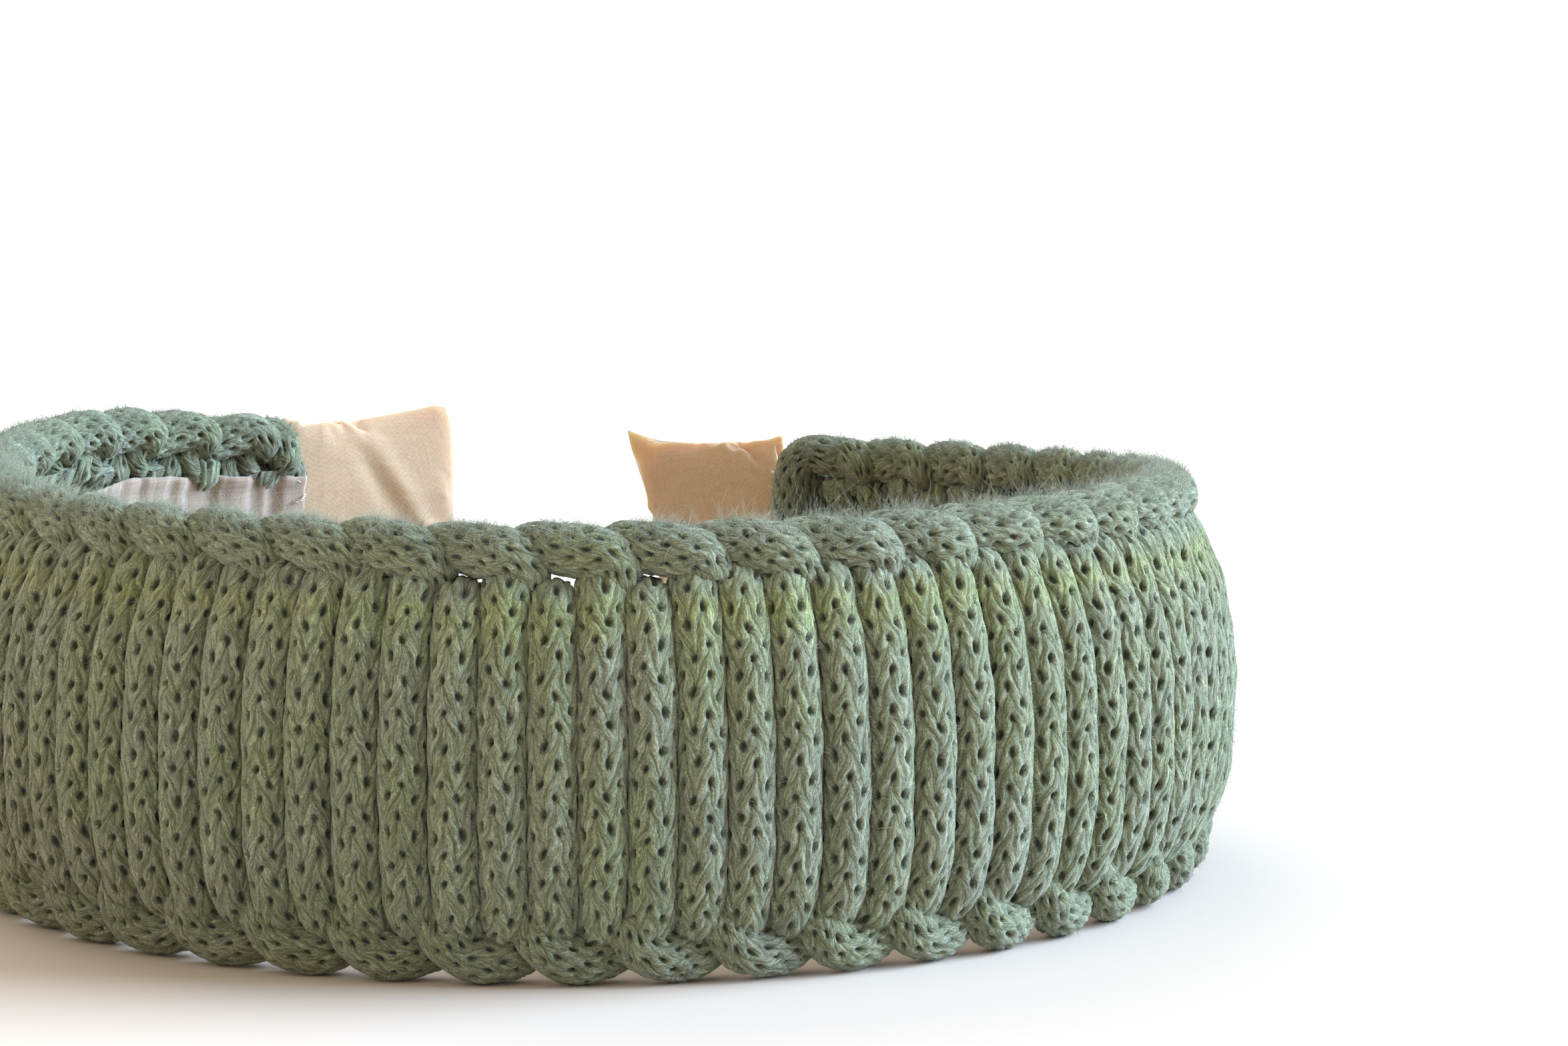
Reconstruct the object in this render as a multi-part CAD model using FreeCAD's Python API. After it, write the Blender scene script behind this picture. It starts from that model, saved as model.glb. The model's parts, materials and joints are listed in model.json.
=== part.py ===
import FreeCAD, Part
import math
import os

# Open headband worked from knitted tube cord, standing on its lower edge.
# Millimetres, +Z up, front of the band towards -Y. Angles run from the front towards +X.

# Band
CORD = 6.3  # knitted tube cord, across
SQUEEZE = 0.5  # slack left round a cord, so that neighbours never bite
PLAN_RADIUS = 90.0  # centre line of the upright cords at their widest
CELLS_PER_ARM = 19  # a cell is two upright cords, a top loop and a bottom loop
CELL_ANGLE = 8.06  # degrees of plan that one cell takes
UPRIGHTS_PER_CELL = 2

# Height of the top edge: (degrees from the front, height)
TOP_EDGE = [(-156.0, 55.9), (-115.0, 60.6), (-60.0, 58.8), (40.0, 58.8), (156.0, 52.3)]

# Upright cords, which bulge outwards at mid height
UPRIGHT_FOOT = 9.4
UPRIGHT_DROP = 13.6  # from the top edge down to the upper end
BULGE = 3.3  # how far the ends stand inside the widest radius
BULGE_HEIGHT = 0.46  # share of the height where an upright is widest

# Top loop: over the edge from the inside left to the outside right
TOP_BACK = (-6.3, -11.3, 8.3)  # along the band, outwards from PLAN_RADIUS, below the edge
TOP_CREST = (-0.6, -7.4, 3.0)
TOP_FRONT = (4.1, -3.4, 7.7)

# Bottom loop: under the edge from the outside left to the inside right
BOTTOM_FRONT = (-4.3, -1.9, 6.9)
BOTTOM_LOW = (0.4, -4.6, 2.7)
BOTTOM_BACK = (5.7, -8.9, 5.4)

# Lining strip on the inner face, a length for each stretch of the band
LINING_OUTER = PLAN_RADIUS - 6.6
LINING_THICK = 1.2
LINING_FOOT = 13.0
# How far the lining's edge is below the band's: (degrees from the front, distance)
LINING_DROP = [(-156.0, 10.2), (-130.0, 10.6), (-105.0, 16.0), (156.0, 16.0)]
LINING_GAP = 1.4  # degrees between two lengths

# Cloth caps at the two ends
CAP_ARC = 17.6  # degrees
CAP_SEAM_GAP = 2.0  # degrees between cap and last cord
CAP_FOOT = 1.2
CAP_DROP = 1.0  # cap's straight top below the band's edge
CAP_INNER = PLAN_RADIUS - 8.4
PANEL_THICK = 0.8
CORE_THICK = 4.6
CORE_MARGIN = 3.0  # filling stops short of the cap's edges
PLY_GAP = 0.05

# Closure patches
PATCH_HEIGHT = 20.0
PATCH_FOOT = 13.0
PATCH_ARC = 12.0
PATCH_THICK = 1.1

# Seam stitches that hold the caps on
STITCHES = 8
STITCH_LENGTH = 2.6
STITCH_RADIUS = 0.3

# Where the band bends: cells between one bending line and the next
STRETCHES = {"near": 4, "side": 4, "far": 3, "end": 3}
FRONT_CELLS_PER_ARM = CELLS_PER_ARM - sum(STRETCHES.values())

TUBE_RADIUS = (CORD - SQUEEZE) / 2
SEAM_ANGLE = CELLS_PER_ARM * CELL_ANGLE
TIP_ANGLE = SEAM_ANGLE + CAP_ARC
CAP_OUTER = CAP_INNER + 2 * PANEL_THICK + CORE_THICK + 2 * PLY_GAP
FRONT_REACH = PLAN_RADIUS + TUBE_RADIUS
REAR_REACH = (CAP_OUTER + PLY_GAP + PATCH_THICK) * math.cos(math.radians(180 - TIP_ANGLE + CAP_SEAM_GAP))
CENTRE = FreeCAD.Vector(0, (FRONT_REACH - REAR_REACH) / 2, 0)
UP = FreeCAD.Vector(0, 0, 1)


def eased(table, angle):
    """Value at a plan angle, eased between the table's rows."""
    for (a0, v0), (a1, v1) in zip(table, table[1:]):
        if angle <= a1:
            share = max(0.0, (angle - a0) / (a1 - a0))
            return v0 + (v1 - v0) * (1 - math.cos(math.pi * share)) / 2
    return table[-1][1]


def top_edge(angle):
    return eased(TOP_EDGE, angle)


def lining_edge(angle):
    return top_edge(angle) - eased(LINING_DROP, angle)


def place(angle, along, radius, height):
    """Point at a plan angle, moved along the band, at a radius and a height."""
    a = math.radians(angle)
    x = radius * math.sin(a) + along * math.cos(a)
    y = -radius * math.cos(a) + along * math.sin(a)
    return CENTRE + FreeCAD.Vector(x, y, height)


def tube(start, middle, end, radius):
    """Round cord along the arc through three points."""
    arc = Part.Arc(start, middle, end)
    tangent = FreeCAD.Vector(*arc.tangent(arc.FirstParameter)[0])
    ring = Part.Wire([Part.makeCircle(radius, start, tangent)])
    return Part.Wire([arc.toShape()]).makePipeShell([ring], True, False)


def upright(angle, top):
    """One upright cord, bowed outwards."""
    head = top - UPRIGHT_DROP
    return tube(
        place(angle, 0, PLAN_RADIUS - BULGE, UPRIGHT_FOOT),
        place(angle, 0, PLAN_RADIUS, UPRIGHT_FOOT + (head - UPRIGHT_FOOT) * BULGE_HEIGHT),
        place(angle, 0, PLAN_RADIUS - BULGE, head),
        TUBE_RADIUS,
    )


def top_loop(angle, top):
    points = [place(angle, u, PLAN_RADIUS + w, top - d) for u, w, d in (TOP_BACK, TOP_CREST, TOP_FRONT)]
    return tube(*points, TUBE_RADIUS)


def bottom_loop(angle):
    """Loop that the band stands on, with the flat that it presses into itself."""
    points = [place(angle, u, PLAN_RADIUS + w, z) for u, w, z in (BOTTOM_FRONT, BOTTOM_LOW, BOTTOM_BACK)]
    loop = tube(*points, TUBE_RADIUS)
    reach = 2 * PLAN_RADIUS
    above_floor = Part.makeBox(2 * reach, 2 * reach, reach, FreeCAD.Vector(-reach, -reach, 0))
    return loop.common(above_floor).Solids[0]


def cell(angle):
    """Two uprights with their loops, as four separate solids."""
    top = top_edge(angle)
    spread = CELL_ANGLE / UPRIGHTS_PER_CELL
    first = angle - spread * (UPRIGHTS_PER_CELL - 1) / 2
    solids = [upright(first + spread * i, top) for i in range(UPRIGHTS_PER_CELL)]
    return Part.makeCompound(solids + [top_loop(angle, top), bottom_loop(angle)])


def curved_wall(start, end, inner, thick, foot, head):
    """Upright wall of even thickness that follows the plan between two angles."""
    corners = [(inner, foot), (inner + thick, foot), (inner + thick, head), (inner, head)]
    points = [place(start, 0, r, z) for r, z in corners]
    face = Part.Face(Part.makePolygon(points + points[:1]))
    return face.revolve(CENTRE, UP, end - start)


def lining(start, end):
    top = min(lining_edge(start), lining_edge(end))
    inner = LINING_OUTER - LINING_THICK
    return curved_wall(start + LINING_GAP / 2, end - LINING_GAP / 2, inner, LINING_THICK, LINING_FOOT, top)


def cap_wall(side, inner, thick, margin=0.0):
    """Curved layer of a cap, drawn in from the cap's edges by a margin."""
    slim = math.degrees(margin / PLAN_RADIUS)
    start = SEAM_ANGLE + CAP_SEAM_GAP + slim
    end = TIP_ANGLE - slim
    head = top_edge(side * SEAM_ANGLE) - CAP_DROP - margin
    first, last = sorted((side * start, side * end))
    return curved_wall(first, last, inner, thick, CAP_FOOT + margin, head)


def cap(side, name):
    """Cloth cap: two panels over the folded cord ends that fill it."""
    core_inner = CAP_INNER + PANEL_THICK + PLY_GAP
    return {
        name + "_cap_inner_panel": cap_wall(side, CAP_INNER, PANEL_THICK),
        name + "_cap_filling": cap_wall(side, core_inner, CORE_THICK, CORE_MARGIN),
        name + "_cap_outer_panel": cap_wall(side, CAP_OUTER - PANEL_THICK, PANEL_THICK),
        name + "_seam_stitches": seam_stitches(side),
    }


def seam_stitches(side):
    """Row of short stitches across the seam between the lining and the cap."""
    radius = CAP_INNER - PLY_GAP - STITCH_RADIUS
    foot = LINING_FOOT + STITCH_RADIUS
    rise = (lining_edge(side * SEAM_ANGLE) - 2 * STITCH_RADIUS - foot) / (STITCHES - 1)
    seam = side * (SEAM_ANGLE + CAP_SEAM_GAP / 2)
    stitches = []
    for i in range(STITCHES):
        start = place(seam, -STITCH_LENGTH / 2, radius, foot + i * rise)
        end = place(seam, STITCH_LENGTH / 2, radius, foot + i * rise)
        stitches.append(Part.makeCylinder(STITCH_RADIUS, STITCH_LENGTH, start, end - start))
    return Part.makeCompound(stitches)


def patch(side, inner):
    """Half of the hook-and-loop closure, flat against a cap."""
    middle = side * (SEAM_ANGLE + TIP_ANGLE) / 2
    head = PATCH_FOOT + PATCH_HEIGHT
    return curved_wall(middle - PATCH_ARC / 2, middle + PATCH_ARC / 2, inner, PATCH_THICK, PATCH_FOOT, head)


def linings():
    """Lining lengths: one across the front, then one for each stretch of each arm."""
    bend = FRONT_CELLS_PER_ARM * CELL_ANGLE
    lengths = {"lining_front": lining(-bend, bend)}
    for stretch, cells in STRETCHES.items():
        reach = bend + cells * CELL_ANGLE
        lengths["lining_right_" + stretch] = lining(bend, reach)
        lengths["lining_left_" + stretch] = lining(-reach, -bend)
        bend = reach
    return lengths


def cells():
    """Cord cells, counted from the left end of the band to the right end."""
    count = 2 * CELLS_PER_ARM
    return {
        f"cord_cell_{i + 1:02d}": cell((i + 0.5 - CELLS_PER_ARM) * CELL_ANGLE)
        for i in range(count)
    }


def nodes():
    patches = {
        "hook_patch": patch(-1, CAP_OUTER + PLY_GAP),
        "loop_patch": patch(1, CAP_INNER - PLY_GAP - PATCH_THICK),
    }
    return {**cells(), **linings(), **cap(-1, "left"), **cap(1, "right"), **patches}


os.makedirs("parts", exist_ok=True)
for node, shape in nodes().items():
    shape.exportStep(f"parts/{node}.step")
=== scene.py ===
import json
import math

import bmesh
import bpy
import numpy as np
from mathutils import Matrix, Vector
from mathutils.bvhtree import BVHTree


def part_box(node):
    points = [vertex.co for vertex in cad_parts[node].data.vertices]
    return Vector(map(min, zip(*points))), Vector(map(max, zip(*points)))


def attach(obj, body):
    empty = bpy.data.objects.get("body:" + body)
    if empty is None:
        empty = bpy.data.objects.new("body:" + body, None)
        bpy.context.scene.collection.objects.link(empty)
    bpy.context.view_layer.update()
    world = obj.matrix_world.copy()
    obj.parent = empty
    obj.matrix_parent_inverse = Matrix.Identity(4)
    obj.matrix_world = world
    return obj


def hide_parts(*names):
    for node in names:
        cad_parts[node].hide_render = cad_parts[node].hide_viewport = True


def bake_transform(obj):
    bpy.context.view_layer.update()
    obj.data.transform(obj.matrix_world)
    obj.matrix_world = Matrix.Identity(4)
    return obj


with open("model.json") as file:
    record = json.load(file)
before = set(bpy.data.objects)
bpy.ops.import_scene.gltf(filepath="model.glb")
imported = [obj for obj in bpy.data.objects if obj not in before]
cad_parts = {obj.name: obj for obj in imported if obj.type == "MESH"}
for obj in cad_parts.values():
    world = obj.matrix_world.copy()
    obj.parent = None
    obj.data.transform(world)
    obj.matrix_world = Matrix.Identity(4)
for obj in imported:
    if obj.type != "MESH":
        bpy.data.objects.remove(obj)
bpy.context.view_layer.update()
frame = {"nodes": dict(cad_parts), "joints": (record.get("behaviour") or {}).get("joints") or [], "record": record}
record = frame["record"]

# ---------------------------------------------------------------- design values, millimetres
MM = 0.001
PLAN_RADIUS = 90.0  # centre line of the upright cords at their widest
CELL_ANGLE = math.radians(8.06)
REFERENCE_TOP = 58.8  # height that the cord routes below are written for
FOOT_ZONE = 12.0  # the lowest part of a cell keeps its shape whatever the height
CORD_RADIUS = 3.14
WALES = 5  # columns of stitches round the knitted cord
COURSE = 4.4  # length of one stitch
LEG_RUN = 1.5  # a stitch's leg runs this many stitches along while it crosses half a column
LEG_RISE = 0.36  # round of a leg above the groove beside it
LEG_ROUND = 2.6  # power of a leg's section; higher is flatter on top
LEG_SWAY = 0.05  # how far a leg bends in an S while it crosses half a column
GAP_DEPTH = 0.78  # of the holes between stitches
GAP_SIZE = (0.48, 0.66)  # half their width and length
GAP_ROWS = ((0, 0.5, 1.0), (1, 0.0, 0.85))  # place across half a column, place along a stitch, size
AROUND = 56  # points round a cord
STEP = 0.41  # spacing of points along a cord
FLOOR_GAP = 0.02  # nothing comes lower than this

# Routes: along the band, outwards from PLAN_RADIUS, height, thickness as a share of the cord's. Every end
# lies behind a neighbour. The uprights run from inside the rim, over it, and down to the foot.
UPRIGHT_BODY = [
    (0, -3.6, 46.9, 1), (0, -1.8, 42.6, 1), (0, -0.6, 37.0, 1), (0, 0, 30.0, 1), (0, 0, 22.0, 1),
    (0, -0.5, 16.0, 1), (0, -1.6, 11.8, 1), (0, -3.3, 8.8, 1), (0, -6.0, 7.4, 1), (0, -8.6, 8.4, 1),
    (0, -9.6, 11.4, 1), (0, -8.2, 15.0, 1),
]
UPRIGHT = [
    (0, -3.0, 46.2, 0.50), (0, -3.9, 47.9, 0.66), (0, -5.8, 49.8, 0.88), (0, -6.9, 51.1, 1),
    (0, -5.4, 50.4, 1),
] + UPRIGHT_BODY
LOW_UPRIGHT = [
    (0, -3.0, 44.4, 0.50), (0, -4.2, 46.0, 0.66), (0, -6.0, 47.9, 0.88), (0, -6.4, 49.3, 1),
    (0, -5.0, 48.7, 1),
] + UPRIGHT_BODY
REAR_UPRIGHT = [(0, -6.4, 52.8, 0.90), (0, -5.8, 51.2, 0.96)] + UPRIGHT_BODY
REAR_CELLS = (0, 1, 2, 3)  # here the left upright ends inside the loop, clear of the lining's edge
OPEN_CELLS = (17, 18, 19)  # here the left upright stops short of the loop and leaves a small hole
TOP_ROUTE = [
    (-9.2, -9.4, 52.0, 0.88), (-8.2, -9.1, 54.6, 0.95), (-6.2, -8.3, 55.9, 1.00), (-3.6, -7.6, 55.8, 1.06),
    (-0.6, -6.9, 55.5, 1.13), (2.2, -6.3, 55.1, 1.17), (4.4, -6.2, 54.4, 1.15), (5.7, -6.8, 52.4, 1.06),
    (5.8, -7.8, 51.4, 0.94), (4.6, -8.5, 51.2, 0.80),
]
TOP_ROUTE_LEFT_END = [
    (0.8, -7.6, 50.2, 0.80), (-0.2, -8.6, 52.8, 0.90), (0.2, -8.2, 55.1, 0.98), (1.7, -7.6, 55.9, 1.04),
    (3.2, -6.9, 55.4, 1.12),
] + TOP_ROUTE[6:]
TOP_ROUTE_RIGHT_END = TOP_ROUTE[:4] + [
    (-0.8, -8.6, 56.2, 1.0), (2.0, -9.0, 56.2, 0.98), (4.2, -10.0, 54.4, 0.94), (5.0, -10.6, 50.2, 0.94),
    (5.2, -10.6, 43.0, 0.96), (5.6, -10.4, 34.0, 1.0), (6.3, -10.2, 24.0, 1.0), (6.6, -10.0, 14.0, 1.0),
    (6.2, -9.4, 7.6, 1.0),
]
BOTTOM_ROUTE = [
    (-5.2, -7.8, 11.8, 0.92), (-6.3, -4.6, 10.3, 1.02), (-5.5, -3.4, 7.0, 1.08), (-2.8, -3.8, 4.2, 1.12),
    (0.8, -4.7, 3.5, 1.12), (4.3, -6.1, 4.1, 1.08), (6.9, -8.2, 6.0, 1.0), (8.2, -10.4, 8.8, 0.9),
]
TOP_WOBBLE = 0.12  # uneven hand of the worker, as a random shift of each route
BOTTOM_WOBBLE = 0.05
UPRIGHT_WOBBLE = 0.09
UPRIGHT_WIDTH = 1.07  # the uprights are a little wider than deep
OLIVE_REACH = (11.0, 3.6)  # below the top edge, and half its spread, of the greener part of the uprights
LOOP_WALES = 7
LOOP_COURSE = 3.5

# Loose fibres: number on each cell, and the distance from the cell's middle that they keep within
LYING_FIBRES = 1000
RIM_FIBRES = 1200
LONG_FIBRES = 24
FIBRE_ZONE = 5.0
RIM_DEPTH = 2.6  # the rim is this much of the top

# Lining: a thin gathered strip inside the cords
LINING_RADIUS = 82.9
LINING_THICKNESS = 0.5
LINING_FOOT = 12.4
LINING_ROWS = 44  # points up one face
LINING_STEP = 0.38
LINING_DROP = [(-156, 8.6), (-130, 9.4), (-105, 14.8), (156, 14.8)]  # below the band's edge, by plan angle
FOLD_DEPTH = 1.0

# Cells on each arm from the middle of the front to the end, by body
ARM_CELLS = {"front": 5, "near": 4, "side": 4, "far": 3, "end": 3}

# End caps: two panels sewn round three sides and stuffed. The upper edge is given as (length from the seam,
# height), and the free edge as (share of the height, length from the seam)
CAP_RADIUS = 84.7
CAP_SEAM = {"left": -151.5, "right": 153.2}
CAP_UPPER = {
    "left": [(0, 56.2), (1.6, 55.9), (4.5, 54.7), (12.0, 55.0), (18.5, 55.9), (24.6, 56.9)],
    "right": [(0, 52.4), (4.3, 51.1), (10.0, 50.7), (16.5, 50.6), (21.5, 50.9), (25.0, 52.0), (27.4, 53.0)],
}
CAP_FREE = {
    "left": [(0, 26.1), (0.12, 27.0), (0.5, 27.2), (0.88, 27.1), (0.96, 26.7), (1.0, 26.1)],
    "right": [
        (0, 26.9), (0.14, 24.6), (0.3, 23.0), (0.5, 21.9), (0.66, 22.2), (0.75, 23.0), (0.84, 24.4),
        (0.93, 26.3), (1, 27.3),
    ],
}
CAP_LEAN = {"left": -4.2, "right": 3.8}  # how far the seam leans from foot to top
CAP_FOOT = 1.4
CAP_THICKNESS = 6.0
CAP_LENGTH = 27.0  # of a panel before it is blown up
CAP_HEIGHT = 56.0
CAP_CELLS = (38, 78)
CAP_SHRINK = {"left": -0.07, "right": -0.03}  # negative: the cloth is cut larger than its outline
CAP_SEEDS = {"left": 5, "right": 8}
CAP_FRAMES = 30
SIM_SCALE = 0.02  # metres of simulated cloth to a millimetre of cap

# Fastening tape: columns and rows of its backing, and half its width in degrees
TAPE_CELLS = (30, 34)
TAPE_HALF = 5.6

SIDES = {"left": -1, "right": 1}  # and the sign of their plan angles
node_body = {n: b for b, names in record["behaviour"]["bodies"].items() for n in names}
seat = next(m for m in record["mounts"] if m["name"] == "head_seat")
CENTRE = np.array(seat["pos_m"][:2]) / MM
cell_nodes = sorted(n for n in frame["nodes"] if n.startswith("cord_cell_"))
cell_tops = [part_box(n)[1][2] / MM + 0.1 for n in cell_nodes]
rng = np.random.default_rng(11)


def cell_angle(index):
    """Plan angle of a cell's middle, in radians."""
    return (index + 0.5 - len(cell_nodes) / 2) * CELL_ANGLE


def on_circle(angle, radius, z):
    x = CENTRE[0] + radius * np.sin(angle)
    y = CENTRE[1] - radius * np.cos(angle)
    return np.stack([x, y, np.asarray(z) + 0 * x], -1)


def place(angle, u, w, z):
    """Plan angle from the front towards +X, along the band, outwards and up, to x, y, z in millimetres."""
    return on_circle(angle + np.asarray(u) / PLAN_RADIUS, PLAN_RADIUS + np.asarray(w), z)


def polar(degrees, radius, z):
    return on_circle(np.radians(degrees), radius, z)


def unit(v):
    return v / np.maximum(np.linalg.norm(v, axis=-1, keepdims=True), 1e-12)


def run_along(points):
    """Length of a line of points from its start to each of them."""
    return np.concatenate([[0], np.cumsum(np.linalg.norm(np.diff(points, axis=0), axis=1))])


def between(p, q, t, start, end):
    """The point at t on the line that is at p at the start and at q at the end."""
    return (end - t) / (end - start) * p + (t - start) / (end - start) * q


def smooth_line(points, step):
    """Even points on a centripetal Catmull-Rom curve through the given ones, and their lengths along it."""
    p = np.asarray(points, float)
    p = np.vstack([2 * p[0] - p[1], p, 2 * p[-1] - p[-2]])
    knots = np.concatenate([[0], np.cumsum(np.sqrt(np.linalg.norm(np.diff(p, axis=0), axis=1)))])
    out = []
    for i in range(1, len(p) - 2):
        t0, t1, t2, t3 = knots[i - 1 : i + 3]
        t = np.linspace(t1, t2, 24, endpoint=False)[:, None]
        a1 = between(p[i - 1], p[i], t, t0, t1)
        a2 = between(p[i], p[i + 1], t, t1, t2)
        a3 = between(p[i + 1], p[i + 2], t, t2, t3)
        out.append(between(between(a1, a2, t, t0, t2), between(a2, a3, t, t1, t3), t, t1, t2))
    line = np.vstack(out + [p[-2:-1]])
    run = run_along(line)
    even = np.linspace(0, run[-1], max(int(run[-1] / step), 4))
    return np.stack([np.interp(even, run, line[:, k]) for k in range(3)], -1), even


def carried_frames(line, first):
    """Tangents, and a normal and a binormal carried along the line without twist."""
    t = unit(np.gradient(line, axis=0))
    n = np.empty_like(t)
    n[0] = unit(first - t[0] * (first @ t[0]))
    for i in range(1, len(t)):
        v = n[i - 1] - t[i] * (n[i - 1] @ t[i])
        n[i] = v / np.linalg.norm(v)
    return t, n, np.cross(t, n)


def knit(around, along, phase, wales, course):
    """Column and stitch number at each point of a cord, bent a little out of line, with the round of the
    stitch's leg there and the hole where stitches meet, each from 0 to 1."""
    around = around + 0.11 * np.sin(along * 0.52 + phase[2]) + 0.05 * np.sin(along * 1.4 + phase[2] * 2.1)
    along = along + 0.30 * np.sin(around * 2 + phase[2]) + 0.34 * np.sin(along * 0.6 + phase[2] * 1.7)
    column = around / (2 * math.pi) * wales + phase[0]
    stitch = along / course + phase[1]
    q = np.abs(2 * (column % 1) - 1)
    across = 2 * ((stitch - LEG_RUN * (q + LEG_SWAY * np.sin(2 * math.pi * q))) % 1) - 1
    leg = (1 - np.abs(across) ** LEG_ROUND) * (0.74 + 0.26 * np.sin(math.pi * (0.12 + 0.76 * q)))
    width = math.pi * CORD_RADIUS / wales
    nearest = np.full_like(q, 9.0)
    for edge, shift, size in GAP_ROWS:
        sideways = (q - edge) * width / GAP_SIZE[0]
        lengthways = ((stitch + shift) % 1 - 0.5) * course / GAP_SIZE[1]
        nearest = np.minimum(nearest, (sideways**2 + lengthways**2) / size**2)
    gap = 1 - np.clip((nearest - 0.15) / 1.7, 0, 1)
    return column, stitch, leg, gap * gap * (3 - 2 * gap)


class Batch:
    """Vertices, faces and attributes of one mesh, gathered piece by piece."""

    def __init__(self):
        self.points = []
        self.faces = []
        self.corners = []
        self.values = {}
        self.count = 0

    def add(self, points, faces, corners=(), **values):
        """faces count from 0 within points; corners hold the stitches at the faces' corners."""
        self.points.append(points)
        self.corners += [c.reshape(-1, 3) for c in corners]
        self.faces += [f + self.count for f in faces]
        for name, value in values.items():
            self.values.setdefault(name, []).append(value)
        self.count += len(points)

    def keep_above_floor(self):
        self.points = [np.column_stack([p[:, :2], np.maximum(p[:, 2], FLOOR_GAP)]) for p in self.points]

    def mesh(self, name, material, outwards=False):
        mesh = bpy.data.meshes.new(name)
        points = np.vstack(self.points) * MM
        sizes = np.concatenate([np.full(len(f), f.shape[1]) for f in self.faces])
        indices = np.concatenate([f.ravel() for f in self.faces])
        starts = np.concatenate([[0], np.cumsum(sizes)[:-1]])
        mesh.vertices.add(len(points))
        mesh.vertices.foreach_set("co", points.astype(np.float32).ravel())
        mesh.loops.add(len(indices))
        mesh.loops.foreach_set("vertex_index", indices.astype(np.int32))
        mesh.polygons.add(len(sizes))
        mesh.polygons.foreach_set("loop_start", starts.astype(np.int32))
        mesh.update(calc_edges=True)
        for attribute, value in self.values.items():
            store(mesh, attribute, "POINT", np.concatenate(value))
        if self.corners:
            store(mesh, "knit", "CORNER", np.vstack(self.corners))
        mesh.shade_smooth()
        mesh.materials.append(material)
        mesh.validate()
        if outwards:
            face_outwards(mesh)
        return linked(name, mesh)


def linked(name, data):
    """A new object in the scene."""
    obj = bpy.data.objects.new(name, data)
    bpy.context.scene.collection.objects.link(obj)
    return obj


def store(mesh, attribute, domain, value):
    """An attribute of one number or of three, by the shape of value."""
    single = value.ndim == 1
    layer = mesh.attributes.new(attribute, "FLOAT" if single else "FLOAT_VECTOR", domain)
    layer.data.foreach_set("value" if single else "vector", value.astype(np.float32).ravel())


def face_outwards(mesh):
    shape = bmesh.new()
    shape.from_mesh(mesh)
    bmesh.ops.recalc_face_normals(shape, faces=shape.faces)
    shape.to_mesh(mesh)
    shape.free()


def ring_faces(rows, columns):
    """Quads of a tube of rings, with a fan at each end round two extra points."""
    i, j = np.meshgrid(np.arange(rows - 1), np.arange(columns), indexing="ij")
    nxt = (j + 1) % columns
    below = i * columns
    quads = np.stack([below + j, below + nxt, below + columns + nxt, below + columns + j], -1)
    k = np.arange(columns)
    first, last = rows * columns, rows * columns + 1
    start = np.stack([np.full(columns, first), (k + 1) % columns, k], -1)
    top = (rows - 1) * columns
    end = np.stack([np.full(columns, last), top + k, top + (k + 1) % columns], -1)
    return [quads.reshape(-1, 4), np.vstack([start, end])]


def ring_corners(grid):
    """The values of a grid with one column more than the tube has, at the corners of ring_faces."""
    quads = np.stack([grid[:-1, :-1], grid[:-1, 1:], grid[1:, 1:], grid[1:, :-1]], 2)
    start = np.stack([grid[0, :-1], grid[0, 1:], grid[0, :-1]], 1)
    end = np.stack([grid[-1, :-1], grid[-1, :-1], grid[-1, 1:]], 1)
    return [quads, np.vstack([start, end])]


def knitted_cord(batch, line, run, first, across=1.0, thickness=1.0, wales=WALES, course=COURSE, olive=0.0):
    """A knitted tube along a line. thickness is a share of the cord's, across makes it wider than deep, and
    olive is how much greener it is. Returns its points and their outward ways."""
    _, n, b = carried_frames(line, first)
    rows = len(line)
    around, along = np.meshgrid(np.linspace(0, 2 * math.pi, AROUND + 1), run)
    phase = rng.random(3) * (1, 1, 6)
    side = np.cos(around)[..., None] * n[:, None] + np.sin(around)[..., None] * b[:, None] * across
    skin = line[:, None] + side * CORD_RADIUS * np.broadcast_to(thickness, rows)[:, None, None]
    steps = np.linalg.norm(np.diff(skin, axis=0), axis=2)
    length = np.vstack([np.zeros(AROUND + 1), np.cumsum(steps, axis=0)])
    middle = rows // 2
    along = 0.3 * along + 0.7 * (run[middle] + length - length[middle])
    column, stitch, leg, gap = knit(around, along, phase, wales, course)
    end = np.clip(np.minimum(run, run[-1] - run) / 2.4, 0.03, 1) ** 0.5
    lump = 1 + 0.025 * np.sin(along * 0.42 + phase[2])
    lump = lump + 0.02 * np.sin(around * 2 + along * 0.9 + phase[0] * 6)
    size = (np.broadcast_to(thickness, rows) * end)[:, None]
    r = ((CORD_RADIUS - LEG_RISE * (1 - leg) - GAP_DEPTH * gap) * lump * size)[:, :-1]
    side = side[:, :-1]
    points = np.vstack([(line[:, None] + side * r[..., None]).reshape(-1, 3), line[:1], line[-1:]])
    tint = np.concatenate([np.repeat(np.broadcast_to(olive, rows), AROUND), [0, 0]])
    corners = ring_corners(np.stack([column, stitch, np.full_like(column, phase[2])], -1))
    batch.add(points, ring_faces(rows, AROUND), corners, olive=tint)
    return points[:-2], unit(side).reshape(-1, 3)


def lifted(z, top):
    """Height on a cell whose top edge isn't at the reference height."""
    share = np.clip((z - FOOT_ZONE) / (REFERENCE_TOP - 2 * FOOT_ZONE), 0, 1)
    return z + (top - REFERENCE_TOP) * share


def routed(angle, route, top, shift=0.0, wobble=0.0):
    p = np.array(route, float)
    p[:, 0] += shift + wobble * rng.standard_normal()
    p[:, 1:3] += wobble * rng.standard_normal((len(p), 2)) * 0.5
    return place(angle, p[:, 0], p[:, 1], lifted(p[:, 2], top))


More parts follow.
